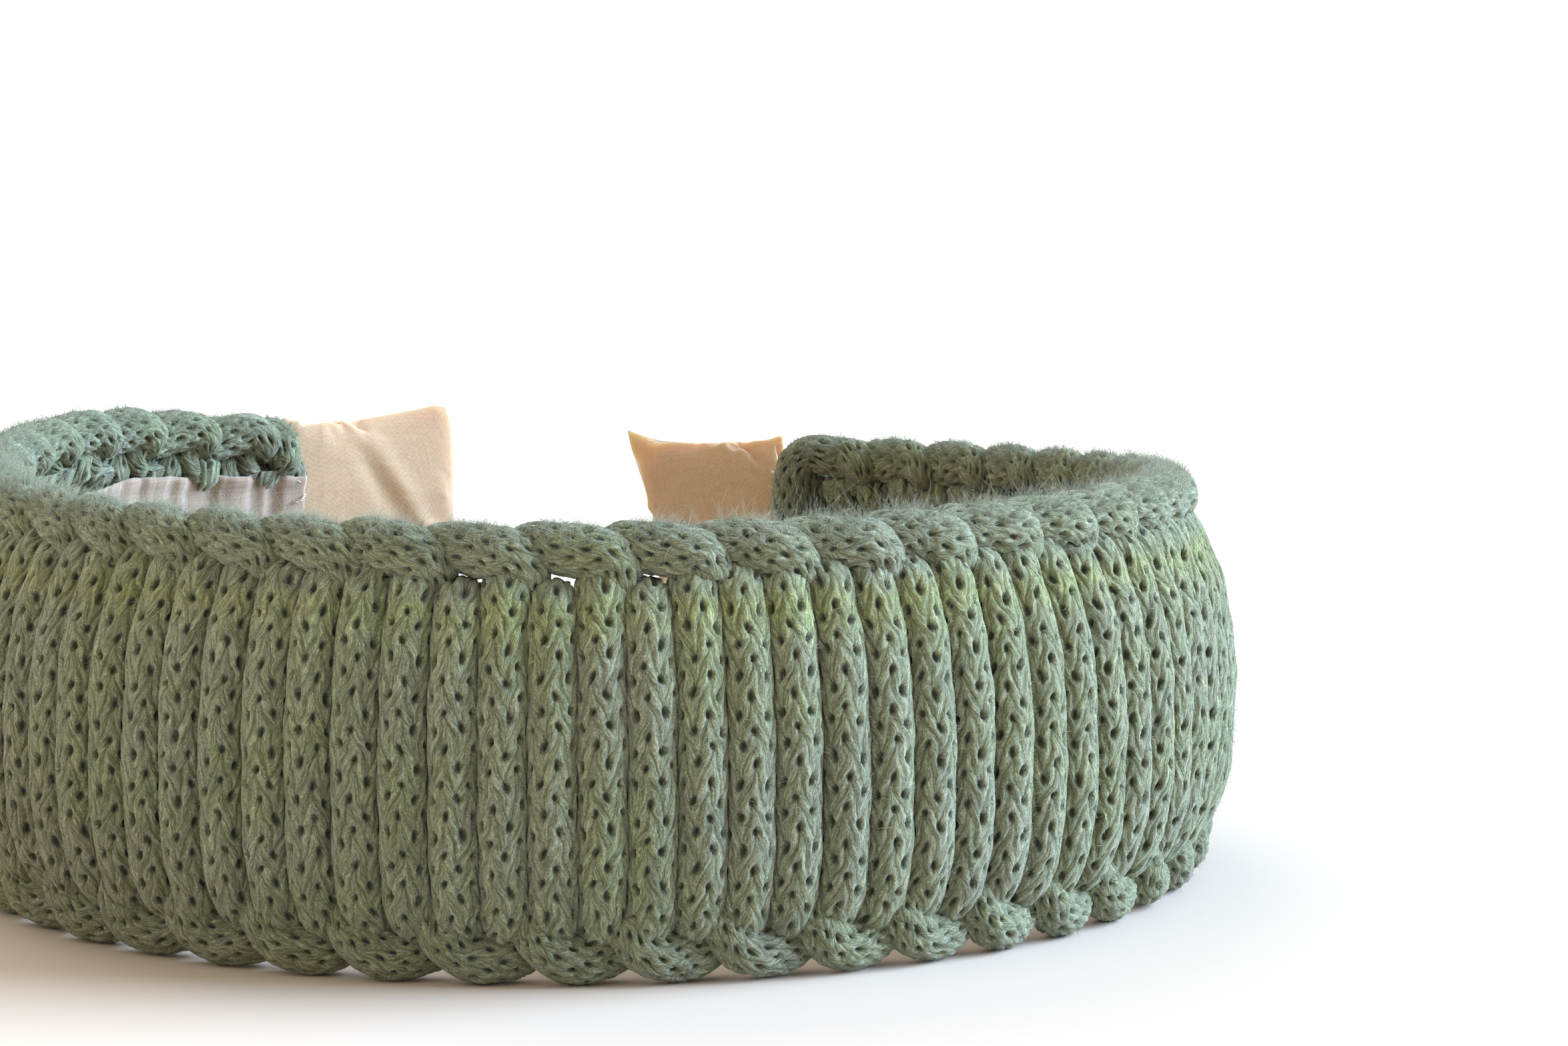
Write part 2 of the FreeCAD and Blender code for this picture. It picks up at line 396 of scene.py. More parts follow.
def loop_thickness(route, along):
    """The route's fourth number, read at each point of the finished line by its share of the length."""
    p = np.array(route, float)
    run = run_along(p[:, :3])
    return np.interp(along / along[-1], run / run[-1], p[:, 3])


def outward_at(angle):
    return np.array([math.sin(angle), -math.cos(angle), 0.0])


def finish_piece(piece, body, slot, *nodes):
    """A piece rides on a body and stands for the CAD nodes. slot is not used."""
    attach(piece, body)
    if nodes:
        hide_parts(*nodes)


# ---------------------------------------------------------------- materials
def feed(socket, value):
    """Links an output to an input, or sets the input to a plain value."""
    if isinstance(value, bpy.types.NodeSocket):
        socket.id_data.links.new(value, socket)
    else:
        socket.default_value = value


def set_inputs(node, **values):
    """Inputs by name, with an underscore for each space; a value may be another node's output."""
    for name, value in values.items():
        feed(node.inputs[name.replace("_", " ")], value)


def add(nodes, kind, **values):
    """A shader node with its properties and inputs given by name."""
    node = nodes.new("ShaderNode" + kind)
    own = [name for name in values if hasattr(node, name)]
    for name in own:
        setattr(node, name, values[name])
    set_inputs(node, **{name: value for name, value in values.items() if name not in own})
    return node


def node_material(name):
    """A new material, its nodes and its shader."""
    material = bpy.data.materials.new(name)
    material.use_nodes = True
    nodes = material.node_tree.nodes
    nodes.clear()
    shader = nodes.new("ShaderNodeBsdfPrincipled")
    add(nodes, "OutputMaterial", Surface=shader.outputs[0])
    return material, nodes, shader


def noise(nodes, position, scale, detail, roughness=0.5, distortion=0.0):
    node = add(nodes, "TexNoise", Vector=position, Scale=scale, Detail=detail)
    set_inputs(node, Roughness=roughness, Distortion=distortion)
    return node


def ramp(nodes, value, stops):
    """Colours laid over a value, as (position, colour) stops."""
    node = nodes.new("ShaderNodeValToRGB")
    feed(node.inputs[0], value)
    elements = node.color_ramp.elements
    while len(elements) < len(stops):
        elements.new(0.5)
    for element, (position, colour) in zip(elements, stops):
        element.position = position
        element.color = (*colour, 1)
    return node.outputs[0]


def grey(level, blue=0.0):
    """A grey, or one with a little more or less blue."""
    return (level, level, level + blue)


def maths(nodes, operation, *values, kind="Math"):
    """A maths node's output; each value is a number or another node's output."""
    node = add(nodes, kind, operation=operation)
    for socket, value in zip(node.inputs, values):
        feed(socket, value)
    return node.outputs[0]


def vector_maths(nodes, operation, *values):
    return maths(nodes, operation, *values, kind="VectorMath")


def multiplied(nodes, a, b, share=1.0):
    """Colour a times colour b, by a share."""
    node = add(nodes, "Mix", data_type="RGBA", blend_type="MULTIPLY")
    feed(node.inputs["Factor"], share)
    feed(node.inputs["A"], a)
    feed(node.inputs["B"], b)
    return node.outputs["Result"]


def stitch_nodes(nodes, position):
    """knit() again as nodes, with a ragged outline: the leg's height, the hole, the leg's own number, and a
    coordinate that its strands run along."""
    stitches = add(nodes, "Attribute", attribute_name="knit").outputs["Vector"]
    ragged = noise(nodes, position, 900.0, 4.0, 0.6).outputs["Color"]
    bent = vector_maths(nodes, "MULTIPLY_ADD", ragged, (0.16, 0.20, 0), stitches)
    parts = add(nodes, "SeparateXYZ", Vector=bent).outputs
    column = maths(nodes, "SUBTRACT", parts["X"], 0.08)
    stitch = maths(nodes, "SUBTRACT", parts["Y"], 0.10)
    q = maths(nodes, "ABSOLUTE", maths(nodes, "MULTIPLY_ADD", maths(nodes, "FRACT", column), 2, -1))
    wave = maths(nodes, "SINE", maths(nodes, "MULTIPLY", q, 2 * math.pi))
    crossed = maths(nodes, "MULTIPLY_ADD", wave, LEG_SWAY, q)
    number = maths(nodes, "MULTIPLY_ADD", crossed, -LEG_RUN, stitch)
    across = maths(nodes, "MULTIPLY_ADD", maths(nodes, "FRACT", number), 2, -1)
    leg = maths(nodes, "SUBTRACT", 1, maths(nodes, "POWER", maths(nodes, "ABSOLUTE", across), LEG_ROUND))
    half = maths(nodes, "FLOOR", maths(nodes, "MULTIPLY", column, 2))
    in_cord = maths(nodes, "MULTIPLY_ADD", maths(nodes, "FLOOR", number), 3.17, parts["Z"])
    name = maths(nodes, "MULTIPLY_ADD", half, 7.31, in_cord)
    strands = add(
        nodes,
        "CombineXYZ",
        X=maths(nodes, "MULTIPLY", across, 3.0),
        Y=maths(nodes, "MULTIPLY", stitch, 2.0),
        Z=maths(nodes, "MULTIPLY", name, 5.3),
    )
    return leg, hole_nodes(nodes, q, stitch), name, strands.outputs[0]


def hole_nodes(nodes, q, stitch):
    """1 in the holes where stitches meet and 0 away from them."""
    width = math.pi * CORD_RADIUS / WALES
    reaches = []
    for edge, shift, size in GAP_ROWS:
        x = maths(nodes, "MULTIPLY", maths(nodes, "SUBTRACT", q, edge), width / GAP_SIZE[0] / size)
        turn = maths(nodes, "FRACT", maths(nodes, "ADD", stitch, shift))
        y = maths(nodes, "MULTIPLY", maths(nodes, "SUBTRACT", turn, 0.5), COURSE / GAP_SIZE[1] / size)
        reaches.append(maths(nodes, "MULTIPLY_ADD", x, x, maths(nodes, "MULTIPLY", y, y)))
    nearest = maths(nodes, "MINIMUM", *reaches)
    hole = add(nodes, "MapRange", interpolation_type="SMOOTHSTEP", Value=nearest)
    set_inputs(hole, From_Min=0.10, From_Max=2.1, To_Min=1.0, To_Max=0.0)
    return hole.outputs["Result"]


def cord_material():
    """Knitted woollen yarn: the same stitches as knit(), drawn finer, each leg made of thin strands. Its tones are
    darkened as painted shade in the grooves between legs, in the holes and between the strands.
    """
    material, nodes, shader = node_material("knitted_cord")
    position = add(nodes, "TexCoord").outputs["Object"]
    leg, hole, name, strands = stitch_nodes(nodes, position)
    plies = noise(nodes, strands, 1.0, 3.0, 0.6, 0.25).outputs["Fac"]
    hairs = noise(nodes, strands, 3.4, 2.0, 0.6, 0.6).outputs["Fac"]
    fluff = noise(nodes, position, 4600.0, 4.0, 0.7).outputs["Fac"]
    patches = noise(nodes, position, 75.0, 2.0).outputs["Fac"]
    single = add(nodes, "TexWhiteNoise", noise_dimensions="1D", W=name).outputs["Value"]
    # Yarn tones over a leg's height: the darker tones down in the grooves between legs are painted shade.
    wool_tones_and_groove_shade = [(0.0, (0.108, 0.112, 0.062)), (0.40, (0.164, 0.169, 0.105)), (1.0, (0.200, 0.206, 0.138))]
    # The ply and hair ramps darken the strands where their bump is low and lighten them where it is high: painted
    # shade and light, over the strands' own uneven tone.
    shades = (
        (patches, [(0.35, grey(1.0)), (0.70, (0.97, 1.0, 0.80))]),
        (single, [(0.0, grey(0.88, -0.02)), (1.0, grey(1.12, 0.02))]),
        (plies, [(0.38, grey(0.60, -0.05)), (0.50, grey(0.98, -0.01)), (0.62, grey(1.46))]),
        (hairs, [(0.36, grey(0.58, -0.03)), (0.64, grey(1.44))]),
        (fluff, [(0.34, grey(0.62, -0.04)), (0.66, (1.36, 1.37, 1.38))]),
    )
    colour = ramp(nodes, leg, wool_tones_and_groove_shade)
    for value, stops in shades:
        colour = multiplied(nodes, colour, ramp(nodes, value, stops))
    # Painted shade: the holes where stitches meet are darkened.
    colour = multiplied(nodes, colour, (0.14, 0.15, 0.11, 1), hole)
    olive = add(nodes, "Attribute", attribute_name="olive").outputs["Fac"]
    colour = multiplied(nodes, colour, (1.14, 1.14, 0.62, 1), olive)

    height = maths(nodes, "MULTIPLY", leg, 0.35)
    for value, share in ((plies, 0.55), (fluff, 0.25), (hairs, 0.3), (hole, -0.25)):
        height = maths(nodes, "MULTIPLY_ADD", value, share, height)
    bump = add(nodes, "Bump", Strength=0.75, Distance=0.00045, Height=height)
    set_inputs(shader, Base_Color=colour, Normal=bump.outputs[0], Roughness=0.95, Specular_IOR_Level=0.05)
    set_inputs(shader, Sheen_Weight=0.40, Sheen_Roughness=0.6, Sheen_Tint=(0.80, 0.86, 0.74, 1))
    return material


def fibre_material():
    material, nodes, shader = node_material("loose_fibre")
    position = add(nodes, "TexCoord").outputs["Object"]
    patches = noise(nodes, position, 300.0, 2.0).outputs["Fac"]
    tone = ramp(nodes, patches, [(0.3, (0.23, 0.24, 0.15)), (0.7, (0.39, 0.40, 0.28))])
    set_inputs(shader, Base_Color=tone, Roughness=0.8, Sheen_Weight=0.3, Specular_IOR_Level=0.1)
    return material


def weave_nodes(nodes, pitch):
    """Height of plain-woven threads, uneven in thickness, over the cloth coordinate in millimetres."""
    flat = add(nodes, "Attribute", attribute_name="flat").outputs["Vector"]
    wander = noise(nodes, flat, 0.7, 1.0).outputs["Color"]
    shifted = vector_maths(nodes, "MULTIPLY_ADD", wander, (pitch * 1.5,) * 3, flat)
    parts = add(nodes, "SeparateXYZ", Vector=shifted).outputs
    waves = [maths(nodes, "SINE", maths(nodes, "MULTIPLY", parts[k], math.pi / pitch)) for k in ("X", "Y")]
    threads = add(nodes, "MapRange", Value=maths(nodes, "MULTIPLY", *waves), From_Min=-1.0)
    slubs = []
    for stretch in ((2.6, 0.16, 1.0), (0.16, 2.6, 1.0)):
        drawn = vector_maths(nodes, "MULTIPLY", flat, stretch)
        slubs.append(noise(nodes, drawn, 1.0, 2.0).outputs["Fac"])
    uneven = add(nodes, "MapRange", Value=maths(nodes, "ADD", *slubs), From_Min=0.7, From_Max=1.3)
    slub = maths(nodes, "MULTIPLY", uneven.outputs["Result"], 0.55)
    return maths(nodes, "MULTIPLY_ADD", threads.outputs["Result"], 0.45, slub)


def woven_material(name, thread_tones_and_gap_shade, pitch, sheen, bump=0.5, glow=0.0):
    """Plain-weave cloth in three tones, from the gaps to the threads' tops; the darker gaps are painted shade and
    the slubs are the threads' own uneven tone. glow lets light through.
    """
    material, nodes, shader = node_material(name)
    height = weave_nodes(nodes, pitch)
    # Painted shade: the tone darkens down into the gaps between threads.
    tone = ramp(nodes, height, list(zip((0.15, 0.5, 0.85), thread_tones_and_gap_shade)))
    raised = add(nodes, "Bump", Strength=bump, Distance=0.00010, Height=height)
    set_inputs(shader, Base_Color=tone, Normal=raised.outputs[0], Roughness=0.85, Specular_IOR_Level=0.15)
    set_inputs(shader, Sheen_Weight=sheen, Sheen_Roughness=0.5)
    if glow:
        set_inputs(shader, Subsurface_Weight=glow, Subsurface_Scale=0.004, Subsurface_Radius=(1.0, 0.6, 0.35))
    return material


def thread_material():
    material, nodes, shader = node_material("stitch_thread")
    position = add(nodes, "TexCoord").outputs["Object"]
    strands = noise(nodes, position, 4200.0, 2.0).outputs["Fac"]
    tone = ramp(nodes, strands, [(0.3, (0.40, 0.30, 0.21)), (0.7, (0.62, 0.50, 0.38))])
    bump = add(nodes, "Bump", Strength=0.5, Distance=0.00005, Height=strands)
    set_inputs(shader, Base_Color=tone, Normal=bump.outputs[0], Roughness=0.55, Sheen_Weight=0.2)
    return material


# Tones from the gaps to the threads' tops; the darker gap tones are painted shade.
CAP_TONES = [(0.51, 0.35, 0.21), (0.555, 0.382, 0.235), (0.60, 0.418, 0.262)]
LINING_TONES = [(0.26, 0.18, 0.125), (0.335, 0.24, 0.172), (0.40, 0.295, 0.218)]
HOOK_TONES = [(0.40, 0.31, 0.23), (0.52, 0.42, 0.32), (0.60, 0.50, 0.40)]
LOOP_TONES = [(0.44, 0.34, 0.25), (0.58, 0.46, 0.35), (0.68, 0.56, 0.44)]

cord_cloth = cord_material()
fibre_cloth = fibre_material()
cap_cloth = woven_material("cap_linen", CAP_TONES, pitch=0.34, sheen=0.25, bump=0.3, glow=0.35)
lining_cloth = woven_material("lining_muslin", LINING_TONES, pitch=0.30, sheen=0.2, bump=0.4, glow=0.3)
hook_cloth = woven_material("hook_tape", HOOK_TONES, pitch=0.5, sheen=0.05, bump=0.7)
loop_cloth = woven_material("loop_tape", LOOP_TONES, pitch=0.5, sheen=0.5, bump=0.7)
thread = thread_material()


# ---------------------------------------------------------------- cords
def fibres(batch, roots, normals, lengths, thickness, bend, parts, spread=0.75):
    """Thin wavy three-sided fibres of so many parts each, that stand up from a surface and end in a point.
    bend is how far they curl, and spread how far they lean from the normals."""
    n = len(roots)
    lean = unit(normals + spread * rng.standard_normal((n, 3)))
    lean = unit(lean + normals * np.maximum(0.15 - (lean * normals).sum(1, keepdims=True), 0))
    curl, wave = unit(rng.standard_normal((2, n, 3)))
    turn = rng.uniform(0, 6.28, (n, 1))
    at = np.linspace(0, 1, parts + 1)[:, None, None]
    reach = lengths[:, None]
    line = roots + at * reach * lean + bend * at**2 * reach * 0.5 * curl
    line = line + 0.12 * at * reach * np.sin(4.5 * at + turn) * wave * bend
    t = unit(np.gradient(line, axis=0))
    n1 = unit(np.cross(t, curl))
    n2 = np.cross(t, n1)
    corners = np.array([0, 2.094, 4.189])  # thirds of a turn
    wide = thickness / 2 * (1 - 0.6 * at)
    ring = line[:, :, None] + wide[..., None] * (
        np.cos(corners)[:, None] * n1[:, :, None] + np.sin(corners)[:, None] * n2[:, :, None]
    )
    body = ring[:-1].transpose(1, 0, 2, 3).reshape(n, -1, 3)
    points = np.concatenate([body, line[-1][:, None]], axis=1).reshape(-1, 3)
    sides = [(0, 1), (1, 2), (2, 0)]
    rows = range(0, 3 * (parts - 1), 3)
    quads = np.array([[i + j, i + k, i + 3 + k, i + 3 + j] for i in rows for j, k in sides])
    tip = 3 * parts
    ends = np.array([[2, 1, 0]] + [[tip - 3 + j, tip - 3 + k, tip] for j, k in sides])
    start = (np.arange(n) * (tip + 1))[:, None, None]
    batch.add(points, [(start + quads).reshape(-1, 4), (start + ends).reshape(-1, 3)])


def upright_cords(batch, index, angle, top):
    """The two upright cords of a cell."""
    shells = []
    quarter = PLAN_RADIUS * CELL_ANGLE / 4
    for shift in (-quarter, quarter):
        route = UPRIGHT
        if shift < 0 and index in OPEN_CELLS:
            route = LOW_UPRIGHT
        if shift < 0 and index in REAR_CELLS:
            route = REAR_UPRIGHT
        line, run = smooth_line(routed(angle, route, top, shift, UPRIGHT_WOBBLE)[::-1], STEP)
        thickness = loop_thickness(route[::-1], run)
        height = (line[:, 2] - (top - OLIVE_REACH[0])) / OLIVE_REACH[1]
        olive = 0.55 * np.exp(-(height**2)) * np.clip((run[-1] - run - 8) / 3, 0, 1)
        first = np.array([0, 0, -1.0])
        shells.append(knitted_cord(batch, line, run, first, UPRIGHT_WIDTH, thickness, olive=olive))
    return shells


def loop_cords(batch, index, angle, top):
    """The loop over the top edge and the loop under the bottom edge of a cell."""
    shells = []
    ends = {0: TOP_ROUTE_LEFT_END, len(cell_nodes) - 1: TOP_ROUTE_RIGHT_END}
    for route, wobble in ((ends.get(index, TOP_ROUTE), TOP_WOBBLE), (BOTTOM_ROUTE, BOTTOM_WOBBLE)):
        line, run = smooth_line(routed(angle, route, top, 0, wobble), STEP)
        thickness = loop_thickness(route, run)
        first = outward_at(angle)
        shells.append(knitted_cord(batch, line, run, first, 1.0, thickness, LOOP_WALES, LOOP_COURSE))
    return shells


def cord_cell(index, node):
    """One repeat of the band: two upright cords, the loop over the top and the loop under the bottom."""
    angle = cell_angle(index)
    batch = Batch()
    shells = upright_cords(batch, index, angle, cell_tops[index])
    shells += loop_cords(batch, index, angle, cell_tops[index])
    batch.keep_above_floor()
    piece = batch.mesh(node.replace("cord_cell", "knitted_cell"), cord_cloth)
    finish_piece(piece, node_body[node], "cord", node)
    return shells


def cell_fuzz(index, node, shells):
    """Lying fibres on a cell's outer side, and standing ones and a few long hairs along its rim."""
    points = np.vstack([s[0] for s in shells])
    normals = np.vstack([s[1] for s in shells])
    batch = Batch()
    angle = cell_angle(index)
    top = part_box(node)[1][2] / MM
    outwards = outward_at(angle)
    beside = (points - place(angle, 0, 0, 0)) @ np.array([outwards[1], -outwards[0], 0])
    inner = np.abs(beside) < FIBRE_ZONE
    seen = np.flatnonzero(inner & ((normals @ outwards > 0.0) | (points[:, 2] > top - 9)))
    pick = rng.choice(seen, LYING_FIBRES)
    fibres(batch, points[pick], normals[pick], rng.uniform(0.5, 1.5, len(pick)), 0.05, 1.1, 2, 1.6)
    rim = np.flatnonzero(inner & (points[:, 2] > top - RIM_DEPTH))
    pick = rng.choice(rim, RIM_FIBRES)
    lengths = rng.uniform(0.4, 1.0, len(pick)) ** 2 * 2.3
    fibres(batch, points[pick], unit(normals[pick] + (0, 0, 0.8)), lengths, 0.036, 1.7, 2)
    pick = rng.choice(rim, LONG_FIBRES)
    lengths = rng.uniform(2.4, 4.8, len(pick))
    fibres(batch, points[pick], unit(normals[pick] + (0, 0, 0.9)), lengths, 0.044, 2.3, 8)
    batch.keep_above_floor()
    piece = batch.mesh(node.replace("cord_cell", "loose_fibres"), fibre_cloth)
    finish_piece(piece, node_body[node], "cord")


def build_cords():
    for index, node in enumerate(cell_nodes):
        shells = cord_cell(index, node)
        cell_fuzz(index, node, shells)


# ---------------------------------------------------------------- shared shapes
def ripple(x, seed):
    """Smooth noise from -1 to 1 over one number, the same at the same place whichever piece asks."""
    table = np.random.default_rng(seed).uniform(-1, 1, 512)
    k = np.floor(x).astype(int)
    f = x - k
    f = f * f * (3 - 2 * f)
    return table[k % 512] * (1 - f) + table[(k + 1) % 512] * f


def band_top(degrees):
    """Height of the band's top edge at a plan angle, read off the cells."""
    angles = [math.degrees(cell_angle(i)) for i in range(len(cell_nodes))]
    return np.interp(degrees, angles, cell_tops)


def sweep(batch, line, radius, around=8, flat=False):
    """A plain round thread along a line. flat adds the cloth coordinate that woven materials read."""
    _, n, b = carried_frames(line, np.array([0.3, 0.2, 0.93]))
    turn = np.linspace(0, 2 * math.pi, around, endpoint=False)[:, None]
    radius = np.broadcast_to(radius, len(line))[:, None, None]
    ring = line[:, None] + radius * (np.cos(turn) * n[:, None] + np.sin(turn) * b[:, None])
    points = np.vstack([ring.reshape(-1, 3), line[:1], line[-1:]])
    values = {"flat": np.zeros((len(points), 3))} if flat else {}
    batch.add(points, ring_faces(len(line), around), **values)


# ---------------------------------------------------------------- lining
def lining_shape(degrees, share, face):
    """Points of the gathered strip: share is the height from 0 to 1, and face -1 inside and 1 outside."""
    s = np.radians(degrees) * LINING_RADIUS
    top = band_top(degrees) - np.interp(degrees, *zip(*LINING_DROP)) + 0.35 * ripple(s / 2.6, 5)
    foot = LINING_FOOT + 0.3 * ripple(s / 3.0, 6)
    lean = 0.9 * np.sin(share * 2.2 + 4 * ripple(s / 40, 3))
    to_edge = np.abs(2 * share - 1)
    fold = ripple((s + lean) / 2.1, 1) * 0.6 + ripple((s + lean * 1.6) / 4.6, 2) * 0.55
    fold += 0.22 * ripple((s - lean) / 0.9, 4) * to_edge**3
    hem = 0.35 * np.exp(-(((share - 0.93) / 0.035) ** 2)) + 0.35 * np.exp(-(((share - 0.07) / 0.035) ** 2))
    rounding = np.sqrt(np.clip(np.minimum(share, 1 - share) / 0.02, 0.02, 1))
    radius = LINING_RADIUS + FOLD_DEPTH * fold * (0.65 + 0.35 * to_edge**2) + hem * 0.8
    radius = radius + face * rounding * LINING_THICKNESS / 2
    radius = radius - 1.6 * np.clip((share - 0.72) / 0.28, 0, 1) ** 2
    radius = radius + 1.5 * np.clip((np.abs(degrees) - 151) / 3, 0, 1) ** 2
    return polar(degrees, radius, foot + share * (top - foot))


def strip_faces(rows, wide):
    """Quads of a closed strip: round its section, and across its two ends."""
    i, j = np.meshgrid(np.arange(rows - 1), np.arange(wide), indexing="ij")
    k = (j + 1) % wide
    below = i * wide
    quads = np.stack([below + j, below + wide + j, below + wide + k, below + k], -1).reshape(-1, 4)
    end = np.arange(wide // 2 - 1)
    near = np.stack([end, end + 1, wide - 2 - end, wide - 1 - end], -1)
    far = near[:, ::-1] + (rows - 1) * wide
    return [quads, near, far]


def lining_piece(name, first, last, hinge, nodes):
    """A length of the gathered lining from one plan angle to another."""
    columns = int(abs(last - first) * math.radians(1) * LINING_RADIUS / LINING_STEP)
    up = np.concatenate([np.linspace(0, 1, LINING_ROWS), np.linspace(1, 0, LINING_ROWS)])
    degrees, share = np.meshgrid(np.linspace(first, last, columns), up, indexing="ij")
    face = np.concatenate([np.full(LINING_ROWS, -1.0), np.full(LINING_ROWS, 1.0)])
    points = lining_shape(degrees, share, face)
    run = run_along(points[:, LINING_ROWS // 2])
    along = np.broadcast_to(run[:, None], share.shape)
    flat = np.stack([along, points[..., 2], np.broadcast_to(face, share.shape)], -1)
    batch = Batch()
    batch.add(points.reshape(-1, 3), strip_faces(*share.shape), flat=flat.reshape(-1, 3))
    piece = batch.mesh(name, lining_cloth, outwards=True)
    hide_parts(*nodes)
    at = Vector(hinge["pos_m"])
    way = Vector((-(at.y - CENTRE[1] * MM), at.x - CENTRE[0] * MM, 0)).normalized()
    if first > last:
        way = -way
    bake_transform(piece)


def build_lining():
    """Four lengths on each side, each from the middle of one body to the middle of the next."""
    edges = np.degrees(CELL_ANGLE) * np.cumsum(list(ARM_CELLS.values()))
    middles = [0.0] + [(edges[k] + edges[k + 1]) / 2 for k in range(3)]
    parts = list(ARM_CELLS)[1:]
    for side, sign in SIDES.items():
        stops = middles + [abs(CAP_SEAM[side]) + 0.6]
        for k, part in enumerate(parts):
            hinge = next(j for j in frame["joints"] if j["name"] == f"{side}_{part}_flex")
            nodes = [f"lining_{side}_{part}"]
            if part == "near":
                nodes.append("lining_front")
            name = f"lining_cloth_{side}_{part}"
            lining_piece(name, sign * stops[k], sign * stops[k + 1], hinge, nodes)


# ---------------------------------------------------------------- end caps
def sheet_key(i, j, layer):
    """Names a corner of the two panels; the two layers share the corners on the three sewn sides."""
    columns, rows = CAP_CELLS
    sewn = i == columns or j in (0, rows)
    return (i, j, 0 if sewn else layer)


def cap_sheet():
    """Two flat panels sewn on three sides, as points (length, thickness, height), faces and pins. Length and
    height go from 0 to 1."""
    columns, rows = CAP_CELLS
    number, points, pins = {}, [], []
    for layer in (0, 1):
        for i in range(columns + 1):
            for j in range(rows + 1):
                key = sheet_key(i, j, layer)
                if key in number:
                    continue
                number[key] = len(points)
                a, b = i / columns, j / rows
                open_share = (1 - a) ** 2 * math.sin(math.pi * b) ** 0.35 if 0 < j < rows else 0.0
                sewn = i == columns or j in (0, rows)
                half = 0 if sewn else (0.25 + 2.75 * open_share) * (2 * layer - 1)
                points.append((a, half, b))
                if i == 0:
                    pins.append(number[key])
    faces = []
    for layer in (0, 1):
        for i in range(columns):
            for j in range(rows):
                ring = [(i, j), (i + 1, j), (i + 1, j + 1), (i, j + 1)]
                quad = [number[sheet_key(*corner, layer)] for corner in ring]
                faces.append(quad if layer == 0 else quad[::-1])
    for j in range(rows):
        ring = [(j, 1), (j, 0), (j + 1, 0), (j + 1, 1)]
        quad = [number[sheet_key(0, *corner)] for corner in ring]
        faces.append(list(dict.fromkeys(quad[::-1])))
    return np.array(points), faces, pins


def cap_cloth_settings(cloth, side):
    """Light cotton, pinned at the seam and blown up a little."""
    settings = cloth.settings
    settings.quality = 7
    settings.mass = 0.25
    settings.tension_stiffness = settings.compression_stiffness = 14
    settings.shear_stiffness = 6
    settings.bending_stiffness = 0.06
    settings.use_pressure = True
    settings.uniform_pressure_force = 4.5
    settings.shrink_min = CAP_SHRINK[side]
    settings.vertex_group_mass = "seam"
    settings.effector_weights.gravity = 0
    cloth.collision_settings.use_collision = False


def simulated_cap(side):
    """The two panels blown up by Blender's cloth. Returns flat and settled positions, and the faces."""
    flat, faces, pins = cap_sheet()
    start = flat * (CAP_LENGTH, 1, CAP_HEIGHT)
    wave = np.random.default_rng(CAP_SEEDS[side]).uniform(0, 6.28, 6)
    x, _, z = start.T
    start[:, 1] += 0.18 * np.sin(x * 0.9 + wave[0] + z * 0.3) * np.sin(math.pi * flat[:, 2])
    start[:, 1] += 0.14 * np.sin(z * 0.8 + wave[1] - x * 0.4) * np.sin(math.pi * flat[:, 0])
    mesh = bpy.data.meshes.new("cap_panels")
    mesh.from_pydata((start * SIM_SCALE).tolist(), [], faces)
    mesh.update()
    obj = linked("cap_panels", mesh)
    scene = bpy.context.scene
    obj.vertex_groups.new(name="seam").add(pins, 1.0, "REPLACE")
    cap_cloth_settings(obj.modifiers.new("cloth", "CLOTH"), side)
    for k in range(1, CAP_FRAMES + 1):
        scene.frame_set(k)
    settled = obj.evaluated_get(bpy.context.evaluated_depsgraph_get()).to_mesh()
    after = np.array([v.co for v in settled.vertices]) / SIM_SCALE
    bpy.data.objects.remove(obj)
    scene.frame_set(1)
    return flat, after, faces


def cap_creases(side, s, z):
    """Changes of the cap's half thickness by length from the seam and height, made one after the other."""
    if side == "right":
        pull = (s - 20.5) + (z - 52.0) * 0.9
        return [-0.35 * np.exp(-((pull / 2.2) ** 2)) * np.clip((z - 30) / 15, 0, 1)]
    crease = (s - 13.0) - (47.0 - z) * 0.62
    along = np.clip(1 - ((z - 41.0) / 13.0) ** 2, 0, 1)
    hollow = -0.5 * np.exp(-((crease / 1.7) ** 2)) * along
    ridge = 0.45 * np.exp(-(((crease - 3.4) / 1.9) ** 2)) * along
    return [hollow, ridge]


def cap_points(side, sign, flat, after):
    """The settled panels drawn to the cap's outline and wrapped round the band's circle."""
    columns, rows = CAP_CELLS
    a, b = flat[:, 0], flat[:, 2]
    column = np.round(a * columns).astype(int)
    row = np.round(b * rows).astype(int)
    free = np.array([after[(a == 1) & (row == j), 0][0] for j in range(rows + 1)])
    upper = np.array([after[(b == 1) & (column == i), 2][0] for i in range(columns + 1)])
    lower = np.array([after[(b == 0) & (column == i), 2][0] for i in range(columns + 1)])
    share = np.clip((after[:, 2] - lower[column]) / (upper[column] - lower[column]), -0.004, 1.004)
    run = np.clip(after[:, 0] / np.interp(b, np.linspace(0, 1, rows + 1), free), -0.02, 1.03)
    s = run * np.interp(share, *zip(*CAP_FREE[side]))
    z = CAP_FOOT + share * (np.interp(s, *zip(*CAP_UPPER[side])) - CAP_FOOT)
    z += 0.5 * (1 - share) ** 6 * np.sin(math.pi * np.clip(run, 0, 1))
    s = s + (1 - run) * CAP_LEAN[side] * (share - 0.55)
    thick = after[:, 1] / np.abs(after[:, 1]).max() * CAP_THICKNESS / 2
    for change in cap_creases(side, s, z):
        thick = thick + change * np.sign(thick)
    return polar(CAP_SEAM[side] + sign * np.degrees(s / CAP_RADIUS), CAP_RADIUS + thick, z)


